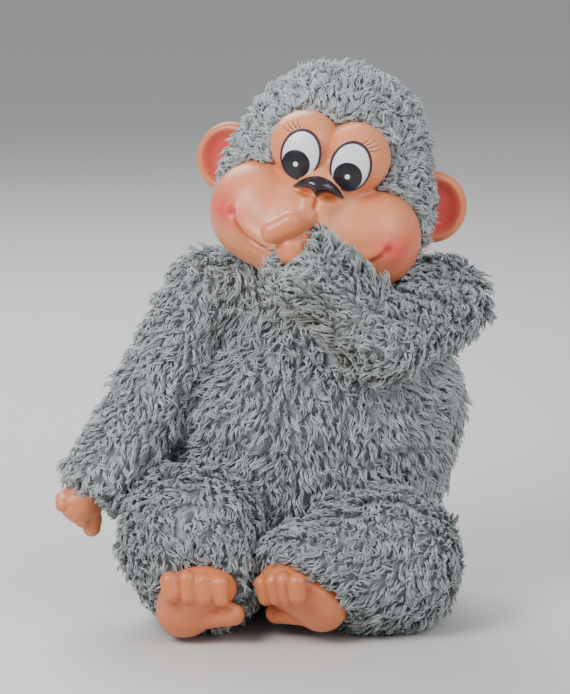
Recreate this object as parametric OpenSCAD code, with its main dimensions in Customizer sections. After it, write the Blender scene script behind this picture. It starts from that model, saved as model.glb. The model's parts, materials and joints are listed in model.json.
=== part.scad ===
// Seated plush monkey with a vinyl face, ears, hands and feet, one thumb held up to its mouth.
// Millimetres, +Z up. The toy looks along -Y and sits with the middle of its seat near the origin.

/* [Torso] */
// Radius of the seat
belly_r = 44; // [40:1:46]
// Radius of the chest
chest_r = 33; // [30:1:36]
// Half the width of the torso at the waist
waist_half_w = 74; // [68:1:78]
// Sideways lean of the chest over the seat
lean = 14; // [8:1:18]
// Height of the neck joint above the seat
neck_h = 180; // [178:1:184]
// Thickness of the plush cloth with its pressed pile
cloth = 3; // [2:0.5:4]

/* [Head] */
// Radius of the stuffed head
skull_r = 46; // [42:1:48]
// Sideways tilt of the head in degrees
head_roll = 12.5; // [5:0.5:16]
// Turn of the head in degrees, negative towards the hanging arm
head_yaw = -8; // [-12:1:0]
// Wall of the vinyl face
vinyl = 2; // [1.5:0.25:2.5]
// Radius of each ear
ear_r = 18; // [15:1:20]
// Width of each oval eye
eye_w = 20; // [17:0.5:21]
// Height of each oval eye
eye_h = 25; // [22:0.5:26]

/* [Arms] */
// Radius of a sleeve at the shoulder
shoulder_r = 20; // [17:1:21]
// Radius of a sleeve at the elbow
elbow_r = 18; // [15:1:19]
// Radius of a sleeve at the cuff
cuff_r = 16; // [14:1:17]
// Radius of the neck of a vinyl hand, inside its cuff
wrist_r = 7.5; // [6:0.5:8]

/* [Legs] */
// Radius of a leg at the hip
hip_r = 33; // [30:1:34]
// Radius of a leg at the knee
knee_r = 33; // [29:1:34]
// Radius of a leg at its cuff
shin_r = 25; // [23:1:27]
// Radius of the neck of a vinyl foot, inside its cuff
ankle_r = 10; // [9:0.5:11]

/* [Hidden] */

plush = "lightslategray";
skin = "sandybrown";
fill = "whitesmoke";
thread = "peru";

gap = 0.4;           // running clearance between bodies that turn on each other
limb_gap = 1.1;      // clearance of a limb in its pocket in the torso
fit = 0.2;           // clearance between pieces that are sewn or glued together
far = 400;           // larger than the toy
body_fn = 24;        // facets of the torso and head
limb_fn = 20;        // facets of the limbs
inner_fn = 16;       // facets of the stuffing behind the face
small_fn = 14;       // facets of fingers and toes
tie_r = 1;           // radius of a cuff's cord
flange = 2;          // width and thickness of the flange that a cuff is tied behind
wrist_depth = 11;    // how far the neck of a hand reaches into its cuff
ankle_depth = 12;    // how far the neck of a foot reaches into its cuff
cuff_back = 2.5;     // how far behind the wrist or ankle a cuff's end stands
tie_back = 7;        // how far behind the wrist or ankle a cuff's cord lies

// Joint centres, as [shoulder, elbow, wrist] and [hip, knee, ankle].
// "left" and "right" are the monkey's own sides, so its left is at +X.
left_arm = [[84, -10, 160], [50, -64, 151], [9, -85.5, 195]];
right_arm = [[-38, -4, 163], [-67, -20, 111], [-97, -34, 66]];
left_leg = [[44, -42, 33.5], [54, -56, 34], [12, -83, 31]];
right_leg = [[-40, -42, 33.5], [-46, -54, 46], [-42, -82, 28]];
arms = [right_arm, left_arm];
legs = [right_leg, left_leg];
left = 1;
right = 0;

// Where hands and feet point, out of their cuffs.
hand_dirs = [[-0.7, -0.25, -0.67], [-0.44, -0.2, 0.88]];
foot_dirs = [[-0.02, -0.96, -0.28], [-0.45, -0.62, -0.64]];

hip_lift = 20;       // how far a thigh lifts off the table, in degrees

// The axes that the arms swing about at the shoulder, and how far, in degrees.
arm_axes = [[-0.43, 0.64, 0.64], [0.649, -0.504, 0.57]];
arm_swing = [50, 60];

neck = [26, 0, neck_h];
neck_r = 20;
head_at = [27, -4, 231];
head_roundness = 16; // half the extra width of the jowls

// A form is the hull of blobs, each [x, y, z, radius].
torso_blobs = [
    [8 - waist_half_w + belly_r + 8, 6, belly_r - 6, belly_r],
    [8 + waist_half_w - belly_r - 8, 6, belly_r - 6, belly_r],
    [lean + 3 - waist_half_w + 47, 2, 103, 47],
    [lean + 3 + waist_half_w - 47, 2, 103, 47],
    [lean - 12, 2, 142, chest_r],
    [lean + 24, 4, 142, chest_r]
];
skull_blobs = [
    [0, 6, 5, skull_r],
    [-head_roundness, -4, -14, skull_r - 8],
    [head_roundness, -4, -14, skull_r - 8]
];
brow_blobs = [[-14, -34, 13.5, 17], [14, -34, 13.5, 17]];
bridge_blobs = [[0, -33, 1, 20.5], [0, -36, -27, 26]];
muzzle_blobs = [[-27, -28, -23, 28], [0, -36, -27, 29], [27, -28, -23, 28]];
mask_back = -24;     // the open back edge of the face, in the head's own frame
mask_fill = -14;     // how far back the stuffing of the face reaches

function unit(v) = v / norm(v);
function towards(a, b, t) = a + unit(b - a) * t;

module form(blobs, grow, fn) {
    hull() for (b = blobs) translate([b[0], b[1], b[2]]) sphere(r = b[3] + grow, $fn = fn);
}

module capsule(a, b, ra, rb, grow) {
    hull() {
        translate(a) sphere(r = ra + grow, $fn = limb_fn);
        translate(b) sphere(r = rb + grow, $fn = limb_fn);
    }
}

// Children stand with their +Z along dir and their origin at p.
module aim(p, dir, spin = 0) {
    d = unit(dir);
    translate(p) rotate([0, acos(d[2]), atan2(d[1], d[0])]) rotate([0, 0, spin]) children();
}

module in_head() {
    translate(head_at) rotate([0, head_roll, head_yaw]) children();
}

// The half space past p along dir.
module beyond(p, dir) {
    aim(p, dir) translate([-far / 2, -far / 2, 0]) cube(far);
}

module turned(p, axis, angle) {
    translate(p) rotate(angle, v = axis) translate(-p) children();
}

// ---------- torso ----------
// Room for a leg, resting and lifted.
module leg_room(side, grow) {
    h = legs[side][0];
    hull() {
        translate(h) sphere(r = hip_r + limb_gap + grow, $fn = limb_fn);
        for (angle = [0, hip_lift / 2, hip_lift]) turned(h, [1, 0, 0], -angle) {
            translate(legs[side][1]) sphere(r = knee_r + limb_gap + grow, $fn = limb_fn);
            translate(legs[side][2]) sphere(r = shin_r + limb_gap + grow, $fn = limb_fn);
        }
    }
}

// Room for an upper arm, from rest to the end of its swing.
module arm_room(side, grow) {
    s = arms[side][0];
    hull() {
        translate(s) sphere(r = shoulder_r + limb_gap + grow, $fn = limb_fn);
        for (share = [0, 0.5, 1]) turned(s, arm_axes[side], arm_swing[side] * share)
            translate(arms[side][1]) sphere(r = elbow_r + limb_gap + grow, $fn = limb_fn);
    }
}

module torso_pockets(grow) {
    translate(neck) sphere(r = neck_r + gap + grow, $fn = 32);
    for (side = [right, left]) {
        arm_room(side, grow);
        leg_room(side, grow);
    }
}

module below(z) {
    translate([-far / 2, -far / 2, z - far]) cube(far);
}

// The torso, shrunk by inset all over, with room for what turns on it.
module torso_form(inset) {
    difference() {
        form(torso_blobs, -inset, body_fn);
        below(inset);
        torso_pockets(inset);
    }
}

// One quarter of the torso's cloth, cut at the front, back and side seams.
module torso_panel(side, front) {
    seam = fit / 2;
    color(plush) difference() {
        torso_form(0);
        torso_form(cloth);
        translate([8, 0, 0]) rotate([0, atan(lean / 142), 0]) {
            translate([side == left ? seam - far : -seam, -far / 2, -far / 2]) cube(far);
            translate([-far / 2, front ? -seam : seam - far, -far / 2]) cube(far);
        }
    }
}

module torso_stuffing() {
    color(fill) torso_form(cloth + fit);
}

module neck_plug() {
    color(plush) translate(neck) sphere(r = neck_r, $fn = 32);
}

// ---------- head ----------
module mask_form(grow, fn = body_fn) {
    for (b = brow_blobs) form([b], grow, fn);
    form(bridge_blobs, grow, fn);
    form(muzzle_blobs, grow, fn);
}

module eye_oval(grow, t) {
    hull() for (s = [-1, 1]) translate([0, s * (eye_h - eye_w) / 2, 0])
        cylinder(d = eye_w + 2 * grow, h = t, $fn = 32);
}

module eye_place(side) {
    translate([side * 13, -52, 13]) rotate([88, 0, side * 10]) children();
}

module face_mask() {
    color(skin) in_head() difference() {
        union() {
            mask_form(0);
            hull() for (s = [-1, 1]) translate([s * 8, -57, 1]) sphere(r = 6, $fn = small_fn);
        }
        mask_form(-vinyl);
        translate([-far / 2, mask_back, -far / 2]) cube(far);
        for (s = [-1, 1]) eye_place(s) translate([0, 0, -12]) eye_oval(fit, 24);
    }
}

// A white domed oval that fills its socket in the face.
module eye(s) {
    dome_r = 22;
    color("white") in_head() eye_place(s) intersection() {
        translate([0, 0, -2.5]) eye_oval(0, 12);
        translate([0, 0, 3 - dome_r]) sphere(r = dome_r, $fn = 48);
    }
}

// A round vinyl cup with a rolled rim.
module ear_form(grow) {
    rim = 3;
    rotate_extrude($fn = 36) {
        translate([ear_r - rim, 0]) circle(r = rim + grow, $fn = 20);
        translate([0, -grow]) square([ear_r - rim, rim - 0.5 + 2 * grow]);
    }
}

module ear_place(s) {
    in_head() translate([s * 54, 6, -8]) rotate([84, 0, s * 14]) children();
}

module ear(s) {
    color(skin) ear_place(s) ear_form(0);
}

module hood_panel(s) {
    seam = fit / 2;
    color(plush) difference() {
        in_head() difference() {
            form(skull_blobs, 0, body_fn);
            form(skull_blobs, -cloth, body_fn);
            mask_form(fit);
            translate([s > 0 ? seam - far : -seam, -far / 2, -far / 2]) cube(far);
        }
        for (k = [-1, 1]) ear_place(k) ear_form(fit);
        translate(neck) sphere(r = neck_r + gap + cloth, $fn = 32);
    }
}

module head_stuffing() {
    inner = -vinyl - fit;
    color(fill) difference() {
        in_head() union() {
            difference() {
                form(skull_blobs, -cloth - fit, body_fn);
                difference() {
                    mask_form(fit);
                    translate([-far / 2, mask_back + fit, -far / 2]) cube(far);
                }
            }
            difference() {
                mask_form(inner, inner_fn);
                translate([-far / 2, mask_fill, -far / 2]) cube(far);
            }
        }
        for (s = [-1, 1]) {
            in_head() eye_place(s) translate([0, 0, -3]) eye_oval(fit, 16);
            ear_place(s) ear_form(fit);
        }
        translate(neck) sphere(r = neck_r + gap + cloth, $fn = 32);
    }
}

// ---------- arms ----------
// The upper sleeve ends one elbow radius short of the elbow, and the forearm begins as far past it.
module upper_sleeve(side) {
    s = arms[side][0];
    e = arms[side][1];
    color(plush) difference() {
        capsule(s, e, shoulder_r, elbow_r, 0);
        capsule(s, e, shoulder_r, elbow_r, -cloth);
        beyond(towards(e, s, elbow_r + 1), e - s);
    }
}

module upper_stuffing(side) {
    s = arms[side][0];
    e = arms[side][1];
    color(fill) difference() {
        capsule(s, e, shoulder_r, elbow_r, -cloth - fit);
        beyond(towards(e, s, elbow_r + 1 + fit), e - s);
    }
}

// The soft part of the arm that folds at the elbow.
module elbow_sleeve(side) {
    s = arms[side][0];
    e = arms[side][1];
    w = arms[side][2];
    color(plush) difference() {
        union() {
            capsule(s, e, shoulder_r, elbow_r, 0);
            capsule(e, w, elbow_r, cuff_r, 0);
        }
        beyond(towards(e, s, elbow_r + 1 - fit), s - e);
        beyond(towards(e, w, elbow_r + 1 - fit), w - e);
    }
}

module forearm_sleeve(side) {
    e = arms[side][1];
    w = arms[side][2];
    dir = hand_dirs[side];
    color(plush) difference() {
        capsule(e, w, elbow_r, cuff_r, 0);
        difference() {
            capsule(e, w, elbow_r, cuff_r, -cloth);
            past_cuff(w, dir, cloth);
        }
        beyond(towards(e, w, elbow_r + 1), e - w);
        past_cuff(w, dir, 0);
        neck_room(w, dir, wrist_r, wrist_depth);
    }
}

module forearm_stuffing(side) {
    e = arms[side][1];
    w = arms[side][2];
    color(fill) difference() {
        capsule(e, w, elbow_r, cuff_r, -cloth - fit);
        beyond(towards(e, w, elbow_r + 1 + fit), e - w);
        past_cuff(w, hand_dirs[side], cloth + fit);
        neck_room(w, hand_dirs[side], wrist_r, wrist_depth);
    }
}

// The half space past the end of a cuff, moved back by depth.
module past_cuff(p, dir, depth) {
    beyond(p - unit(dir) * (cuff_back + depth), dir);
}

// Room for the neck of a hand or foot. It widens behind the cuff's end for the cord and the flange.
module neck_room(p, dir, neck_radius, depth) {
    aim(p, dir) {
        translate([0, 0, -cuff_back - cloth - 1]) cylinder(r = neck_radius + gap, h = cloth + 2, $fn = 32);
        translate([0, 0, -depth - 2 * gap])
            cylinder(r = neck_radius + flange + 2 * gap, h = depth + 2 * gap - cuff_back - cloth, $fn = 32);
    }
}

// The cord that draws a cuff tight round the neck of a hand or foot.
module tie(p, dir, neck_radius) {
    color(thread) aim(p, dir) translate([0, 0, -tie_back]) rotate_extrude($fn = 36)
        translate([neck_radius + tie_r + fit, 0]) circle(r = tie_r, $fn = 16);
}

module finger(a, b, r) {
    hull() {
        translate(a) sphere(r = r, $fn = small_fn);
        translate(b) sphere(r = r * 0.9, $fn = small_fn);
    }
}

module plug(r, depth, reach) {
    translate([0, 0, -depth]) cylinder(r = r, h = depth + reach, $fn = 32);
    translate([0, 0, -depth]) cylinder(r = r + flange, h = flange, $fn = 32);
}

// A closed vinyl fist on a round neck, +Z out of the cuff, with the thumb standing out along +X.
module hand(side, spin, thumb_tip) {
    color(skin) aim(arms[side][2], hand_dirs[side], spin) {
        plug(wrist_r, wrist_depth, 4);
        hull() {
            translate([0, 0, 8]) sphere(r = 8, $fn = small_fn);
            for (s = [-1, 1]) translate([s * 5, 0, 14]) sphere(r = 8, $fn = small_fn);
        }
        for (n = [0:3]) finger([-8.5 + n * 5.6, -2, 20], [-7.5 + n * 5, -8, 14], 4);
        finger([8, 1, 9], thumb_tip, 5);
    }
}

// ---------- legs ----------
module leg_form(side, grow) {
    radii = [hip_r, knee_r, shin_r];
    hull() for (i = [0:2]) translate(legs[side][i]) sphere(r = radii[i] + grow, $fn = limb_fn);
}

module leg_sleeve(side) {
    a = legs[side][2];
    dir = foot_dirs[side];
    color(plush) difference() {
        leg_form(side, 0);
        difference() {
            leg_form(side, -cloth);
            past_cuff(a, dir, cloth);
        }
        past_cuff(a, dir, 0);
        neck_room(a, dir, ankle_r, ankle_depth);
    }
}

module leg_stuffing(side) {
    a = legs[side][2];
    dir = foot_dirs[side];
    color(fill) difference() {
        leg_form(side, -cloth - fit);
        past_cuff(a, dir, cloth + fit);
        neck_room(a, dir, ankle_r, ankle_depth);
    }
}

// A vinyl foot on a round neck. +Z points out to the sole, +Y up to the toes, the big toe towards toe * X.
module foot(side, spin, toe) {
    color(skin) aim(legs[side][2], foot_dirs[side], spin) {
        plug(ankle_r, ankle_depth, 4);
        hull() {
            translate([0, -14, 10]) sphere(r = 11, $fn = small_fn);
            for (s = [-1, 1]) translate([s * 7, 4, 9]) sphere(r = 11, $fn = small_fn);
        }
        for (n = [0:3]) finger([-13 + n * 8.7, 12, 9], [-12 + n * 8, 9 - n, 18], 4.8);
        finger([toe * 10, -6, 12], [toe * 19, -9, 15], 6);
    }
}

torso_panel(left, true);  // torso_front_left_panel
torso_panel(right, true);  // torso_front_right_panel
torso_panel(left, false);  // torso_back_left_panel
torso_panel(right, false);  // torso_back_right_panel
torso_stuffing();
neck_plug();
face_mask();
eye(1);  // left_eye
eye(-1);  // right_eye
ear(1);  // left_ear
ear(-1);  // right_ear
hood_panel(1);  // hood_left_panel
hood_panel(-1);  // hood_right_panel
head_stuffing();
upper_sleeve(right);  // right_upper_sleeve
upper_stuffing(right);  // right_upper_stuffing
elbow_sleeve(right);  // right_elbow_sleeve
forearm_sleeve(right);  // right_forearm_sleeve
forearm_stuffing(right);  // right_forearm_stuffing
tie(right_arm[2], hand_dirs[right], wrist_r);  // right_wrist_tie
hand(right, 0, [18, 0, 16]);  // right_hand
upper_sleeve(left);  // left_upper_sleeve
upper_stuffing(left);  // left_upper_stuffing
elbow_sleeve(left);  // left_elbow_sleeve
forearm_sleeve(left);  // left_forearm_sleeve
forearm_stuffing(left);  // left_forearm_stuffing
tie(left_arm[2], hand_dirs[left], wrist_r);  // left_wrist_tie
hand(left, 205, [14, 1, 12]);  // left_hand
leg_sleeve(right);  // right_leg_sleeve
leg_stuffing(right);  // right_leg_stuffing
tie(right_leg[2], foot_dirs[right], ankle_r);  // right_ankle_tie
foot(right, 90, 1);  // right_foot
leg_sleeve(left);  // left_leg_sleeve
leg_stuffing(left);  // left_leg_stuffing
tie(left_leg[2], foot_dirs[left], ankle_r);  // left_ankle_tie
foot(left, 111, -1);  // left_foot
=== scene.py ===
"""Finish model of a seated plush monkey with a vinyl face, ears, hands and feet and a long wavy pile."""
import json
import math

import bpy
import numpy as np
from mathutils import Euler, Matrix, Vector


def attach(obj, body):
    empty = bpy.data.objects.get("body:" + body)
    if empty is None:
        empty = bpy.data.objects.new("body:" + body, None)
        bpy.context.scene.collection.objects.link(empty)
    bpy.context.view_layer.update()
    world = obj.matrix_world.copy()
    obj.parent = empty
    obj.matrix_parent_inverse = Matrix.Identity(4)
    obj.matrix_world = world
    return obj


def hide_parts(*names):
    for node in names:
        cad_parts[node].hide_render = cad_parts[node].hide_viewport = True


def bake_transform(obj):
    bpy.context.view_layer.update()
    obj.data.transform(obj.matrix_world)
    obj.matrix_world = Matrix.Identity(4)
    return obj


bl_info = {
    "name": "Plush Monkey",
    "version": (1, 0, 0),
    "blender": (4, 2, 0),
    "location": "View3D > Sidebar > Plush Monkey",
    "description": "Builds the finish model of a seated plush monkey on its CAD frame",
    "category": "Object",
}

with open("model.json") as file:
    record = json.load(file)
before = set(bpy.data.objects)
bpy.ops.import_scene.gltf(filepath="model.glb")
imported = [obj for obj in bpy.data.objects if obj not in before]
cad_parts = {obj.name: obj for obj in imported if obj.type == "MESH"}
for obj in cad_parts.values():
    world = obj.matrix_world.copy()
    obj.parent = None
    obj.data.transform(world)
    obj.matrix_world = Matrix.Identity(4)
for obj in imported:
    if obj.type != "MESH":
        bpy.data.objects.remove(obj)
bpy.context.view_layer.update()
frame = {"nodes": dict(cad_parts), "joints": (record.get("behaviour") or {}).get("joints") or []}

MM = 0.001
SIDES = ("left", "right")
JOINTS = {j["name"]: j for j in frame["joints"]}


def pivot(name):
    """A joint's centre, in millimetres."""
    return np.array(JOINTS[name]["pos_m"]) / MM


def unit(v):
    v = np.asarray(v, float)
    return v / np.maximum(np.linalg.norm(v, axis=-1, keepdims=True), 1e-9)


ARMS = {s: [pivot(f"{s}_{j}") for j in ("shoulder", "elbow", "wrist")] for s in SIDES}
HIPS = {s: pivot(f"{s}_hip") for s in SIDES}
KNEES = {"left": np.array([54.0, -56, 34]), "right": np.array([-46.0, -54, 46])}
ANKLES = {s: pivot(f"{s}_ankle") for s in SIDES}
HAND_DIR = {s: unit(JOINTS[f"{s}_wrist"]["axis"]) for s in SIDES}
FOOT_DIR = {s: unit(JOINTS[f"{s}_ankle"]["axis"]) for s in SIDES}
ELBOW_CUT = 19.0  # how far from an elbow its soft part reaches, on both sides
CLOTH = 2.5  # thickness of a cloth panel
TUFT = 7.5  # how wide a tuft of locks is
RINGS = 4  # sections along a hair


# ---------------------------------------------------------------- settings
def millimetres(name, default, low, high, text):
    return bpy.props.FloatProperty(
        name=name, description=text, default=default * MM, min=low * MM, max=high * MM, subtype="DISTANCE"
    )


def colour(name, default, text):
    return bpy.props.FloatVectorProperty(
        name=name, description=text, default=default, size=3, min=0, max=1, subtype="COLOR"
    )


class MonkeyHeadSettings(bpy.types.PropertyGroup):
    place: bpy.props.FloatVectorProperty(
        name="Head centre", description="Where the middle of the head is", default=(0.0257, -0.004, 0.2285),
        size=3, subtype="TRANSLATION", unit="LENGTH",
    )
    roll: bpy.props.FloatProperty(
        name="Tilt", description="Sideways tilt of the head", default=math.radians(12.5), subtype="ANGLE"
    )
    yaw: bpy.props.FloatProperty(
        name="Turn", description="Turn of the head about the neck", default=math.radians(-8), subtype="ANGLE"
    )
    ear: millimetres("Ear radius", 18, 12, 22, "Radius of each ear")
    eye_w: millimetres("Eye width", 20, 16, 22, "Width of each eye")
    eye_h: millimetres("Eye height", 25, 20, 28, "Height of each eye")
    pupil: millimetres("Pupil", 7.3, 4, 9, "Radius of each pupil")


class MonkeyPileSettings(bpy.types.PropertyGroup):
    spacing: millimetres("Lock spacing", 3.05, 2, 6, "Distance between neighbouring locks")
    length: millimetres("Pile length", 12.5, 5, 20, "Length of a lock on the torso")
    hairs: bpy.props.IntProperty(name="Hairs", description="Hairs in one lock", default=4, min=1, max=8)
    girth: millimetres("Hair width", 0.42, 0.2, 2, "Radius of a hair at its thickest")
    root: colour("Root colour", (0.285, 0.31, 0.318), "Colour of the pile at its root")
    tip: colour("Tip colour", (0.49, 0.535, 0.55), "Colour of the pile at its tip")
    stain: colour("Stain colour", (0.33, 0.27, 0.17), "Colour of the worn pile under the raised arm")


class MonkeyVinylSettings(bpy.types.PropertyGroup):
    skin: colour("Skin", (0.76, 0.265, 0.115), "Colour of the vinyl skin")
    # Painted shade: the darker colour laid into the vinyl's creases, recesses and edges where shade falls.
    painted_shade: colour("Creases", (0.50, 0.105, 0.025), "Colour sprayed into creases and edges")
    blush: colour("Blush", (0.72, 0.07, 0.06), "Colour sprayed on cheeks and in ears")
    nose: colour("Nose", (0.022, 0.014, 0.017), "Colour of the nose")
    outline: colour("Outline", (0.045, 0.012, 0.022), "Colour of the painted lines")


# ---------------------------------------------------------------- forms, as distances in millimetres
def capsule(p, a, b, ra, rb):
    """Distance from points p to a rod from a to b whose ends are balls of radius ra and rb."""
    a, b = np.asarray(a, float), np.asarray(b, float)
    ab = b - a
    t = np.clip((p - a) @ ab / (ab @ ab), 0, 1)
    return np.linalg.norm(p - a - t[:, None] * ab, axis=1) - (ra + t * (rb - ra))


def ball(p, c, r):
    return np.linalg.norm(p - np.asarray(c, float), axis=1) - r


def egg(p, c, radii):
    """Approximate distance to an ellipsoid."""
    q = (p - np.asarray(c, float)) / np.asarray(radii, float)
    return (np.linalg.norm(q, axis=1) - 1) * min(radii)


def join(k, *distances):
    """Smooth union, rounded over about k millimetres."""
    out = distances[0]
    for d in distances[1:]:
        h = np.clip(0.5 + 0.5 * (out - d) / k, 0, 1)
        out = out + (d - out) * h - k * h * (1 - h)
    return out


def cut(k, a, b):
    """Smooth intersection."""
    return -join(k, -a, -b)


def bump(x, width):
    return np.exp(-((x / width) ** 2))


def torso_form(p):
    """A soft bag stretched over three rows of stuffing, with a collar of cloth under the head."""
    levels = ((-14, 30, 6, 38, 44), (-10, 44, 2, 103, 47), (2, 38, 3, 142, 33))
    rods = []
    for u in (0, 0.25, 0.5, 0.75, 1):
        low, middle, top = (np.array([x0 + u * (x1 - x0), y, z]) for x0, x1, y, z, _ in levels)
        rods.append(capsule(p, low, middle, 44, 47))
        rods.append(capsule(p, middle, top, 47.5, 33.5))
    collar = capsule(p, (-20, 2, 161), (60, 4, 155), 25, 24)
    return join(8, np.min(rods, axis=0) - 0.3, collar)


def arm_form(side):
    """A sleeve closed by a gathered cuff at the wrist."""
    s, e, w = ARMS[side]
    toward = unit(w - e)
    past = 4 if side == "left" else 1

    def form(p):
        sleeve = join(4, capsule(p, s, e, 20, 18), capsule(p, e, w, 18, 17))
        return cut(5, sleeve, (p - w) @ toward - past)

    return form


def leg_form(side):
    """A leg closed by a gathered cuff at the ankle."""
    h, k, a = HIPS[side], KNEES[side], ANKLES[side]
    toward = FOOT_DIR[side]

    def form(p):
        sleeve = join(6, capsule(p, h, k, 33, 33), capsule(p, k, a, 33, 26))
        return cut(9, sleeve, (p - a) @ toward - 2)

    return form


def skull_form(p):
    return join(10, ball(p, (0, 6, 5), 45.5), capsule(p, (-16, -4, -14), (16, -4, -14), 37, 37))


def head_frame():
    head = bpy.context.scene.monkey_head
    turn = Euler((0, head.roll, head.yaw), "XYZ").to_matrix()
    return np.array(turn), np.array(head.place) / MM


def from_head(p):
    turn, at = head_frame()
    return p @ turn.T + at


def to_head(p):
    turn, at = head_frame()
    return (p - at) @ turn


def smile(x):
    """Height of the mouth line across the face."""
    return -37 + 13.5 * np.abs(x / 41) ** 4.2


SMILE_END = 40.5


def mask_form(p):
    """The vinyl face in the head's own frame: two brow lobes, a bridge, two cheeks and a chin."""
    side = np.abs(p[:, 0])
    q = np.stack([side, p[:, 1], p[:, 2]], 1)
    brow = ball(q, (13.0, -34, 15.2), 17.9)
    bridge = capsule(q, (0, -33, 0.5), (0, -36, -22), 19.5, 23)
    cheek = join(9, ball(q, (28.5, -28, -24.5), 26.3), egg(q, (0, -34, -32), (34, 31, 25)))
    return join(3, brow, join(7, bridge, cheek))


def relief(p):
    """How far the face stands out from its form, for creases, dimples and the bed of the nose."""
    x, y, z = p.T
    side = np.abs(x)
    front = np.clip((-y - 20) / 12, 0, 1)
    above = z - smile(x)
    reach = np.clip((SMILE_END + 0.5 - side) / 3, 0, 1)
    out = reach * (1.5 * bump(above - 3.4, 3.2) - 2.2 * bump(above, 0.9) + 0.7 * bump(above + 4.5, 3.5))
    end = np.hypot(side - SMILE_END, z - smile(SMILE_END))
    out -= 2.3 * bump(end, 2.1)
    out += 1.6 * bump(np.hypot(side - SMILE_END - 5, z - smile(SMILE_END) + 1), 5)
    groove = np.clip((-5 - z) / 2, 0, 1) * np.clip((z + 33) / 3, 0, 1)
    out += 1.4 * bump(side - 4.5, 5) * groove - 2.2 * bump(x, 0.9) * groove
    out += 3.2 * bump(x, 11) * bump(z - 1.5, 5)
    out += 1.2 * bump(side - 7, 5) * bump(z + 8, 4) - 2.6 * bump(side - 6.3, 3.4) * bump(z + 4.9, 1.7)
    return np.maximum(out * front, -1.5)


# ---------------------------------------------------------------- meshes
def new_object(name, verts, faces):
    """A smooth mesh object in the row frame, from points in millimetres. faces holds rows of equal length,
    or is a list of such arrays."""
    mesh = bpy.data.meshes.new(name)
    groups = faces if isinstance(faces, list) else [faces]
    groups = [np.asarray(g, np.int32) for g in groups]
    sizes = np.concatenate([np.full(len(g), g.shape[1], np.int32) for g in groups])
    mesh.vertices.add(len(verts))
    mesh.vertices.foreach_set("co", (np.asarray(verts, float) * MM).ravel())
    mesh.loops.add(int(sizes.sum()))
    mesh.loops.foreach_set("vertex_index", np.concatenate([g.ravel() for g in groups]))
    mesh.polygons.add(len(sizes))
    mesh.polygons.foreach_set("loop_start", np.concatenate([[0], np.cumsum(sizes)[:-1]]).astype(np.int32))
    mesh.update(calc_edges=True)
    obj = bpy.data.objects.new(name, mesh)
    bpy.context.scene.collection.objects.link(obj)
    mesh.shade_smooth()
    return obj


def points_of(obj):
    co = np.empty(len(obj.data.vertices) * 3)
    obj.data.vertices.foreach_get("co", co)
    return co.reshape(-1, 3)


def set_points(obj, points):
    obj.data.vertices.foreach_set("co", np.asarray(points, float).ravel())
    obj.data.update()


def set_value(obj, name, values):
    attribute = obj.data.attributes.new(name, "FLOAT", "POINT")
    attribute.data.foreach_set("value", np.asarray(values, np.float32))


def select_only(obj):
    bpy.ops.object.select_all(action="DESELECT")
    obj.select_set(True)
    bpy.context.view_layer.objects.active = obj


def sphere_object(name, segments, rings):
    bpy.ops.mesh.primitive_uv_sphere_add(segments=segments, ring_count=rings, radius=1)
    obj = bpy.context.active_object
    obj.name = obj.data.name = name
    obj.data.shade_smooth()
    return obj


def cast(form, centre, rays, far=140.0):
    """Where rays that come in towards centre first meet a form."""
    t = np.full(len(rays), far)
    for _ in range(70):
        d = form(centre + rays * t[:, None])
        t = np.maximum(t - np.maximum(d, 0) * 0.8 - (d > 0) * 0.02, 0)
    for _ in range(4):
        t = np.maximum(t - form(centre + rays * t[:, None]) * 0.8, 0)
    return centre + rays * t[:, None]


def gradient(form, p, step=0.15):
    """Outward directions of a form at p."""
    axes = np.eye(3) * step
    return unit(np.stack([form(p + a) - form(p - a) for a in axes], 1))


def moulded(name, form, centre, segments, rings, far=140.0):
    """A sphere drawn in onto a form, with its poles on the Z axis."""
    obj = sphere_object(name, segments, rings)
    set_points(obj, cast(form, np.asarray(centre, float), unit(points_of(obj)), far))
    return obj


def faces_of(obj):
    """The faces of a mesh as two arrays, its triangles and its quads. Both are sorted, because Blender may
    give a sphere's faces in another order on each run, and the seeded picks on them have to stay the same."""
    polygons = obj.data.polygons
    size = np.empty(len(polygons), np.int32)
    start = np.empty(len(polygons), np.int32)
    loops = np.empty(len(obj.data.loops), np.int32)
    polygons.foreach_get("loop_total", size)
    polygons.foreach_get("loop_start", start)
    obj.data.loops.foreach_get("vertex_index", loops)
    groups = []
    for n in (3, 4):
        rows = loops[start[size == n][:, None] + np.arange(n)]
        turned = (rows.argmin(axis=1)[:, None] + np.arange(n)) % n
        rows = np.take_along_axis(rows, turned, axis=1)
        groups.append(rows[np.lexsort(rows.T[::-1])])
    return groups


def thicken(obj, wall):
    select_only(obj)
    solid = obj.modifiers.new("wall", "SOLIDIFY")
    solid.thickness = wall
    solid.offset = -1
    bpy.ops.object.modifier_apply(modifier=solid.name)


# ---------------------------------------------------------------- materials
def principled(name, roughness, **sockets):
    """A new material with its Principled shader, values set on its sockets by name."""
    mat = bpy.data.materials.new(name)
    mat.use_nodes = True
    shader = mat.node_tree.nodes["Principled BSDF"]
    shader.inputs["Roughness"].default_value = roughness
    for key, value in sockets.items():
        shader.inputs[key.replace("_", " ")].default_value = value
    return mat, mat.node_tree, shader


def attribute_node(tree, name):
    node = tree.nodes.new("ShaderNodeAttribute")
    node.attribute_name = name
    return node.outputs["Fac"]


def mix_colour(tree, factor, a, b):
    node = tree.nodes.new("ShaderNodeMix")
    node.data_type = "RGBA"
    for socket, value in ((node.inputs[0], factor), (node.inputs[6], a), (node.inputs[7], b)):
        if isinstance(value, bpy.types.NodeSocket):
            tree.links.new(value, socket)
        elif hasattr(value, "__len__"):
            socket.default_value = (*value, 1)
        else:
            socket.default_value = value
    return node.outputs[2]


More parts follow.
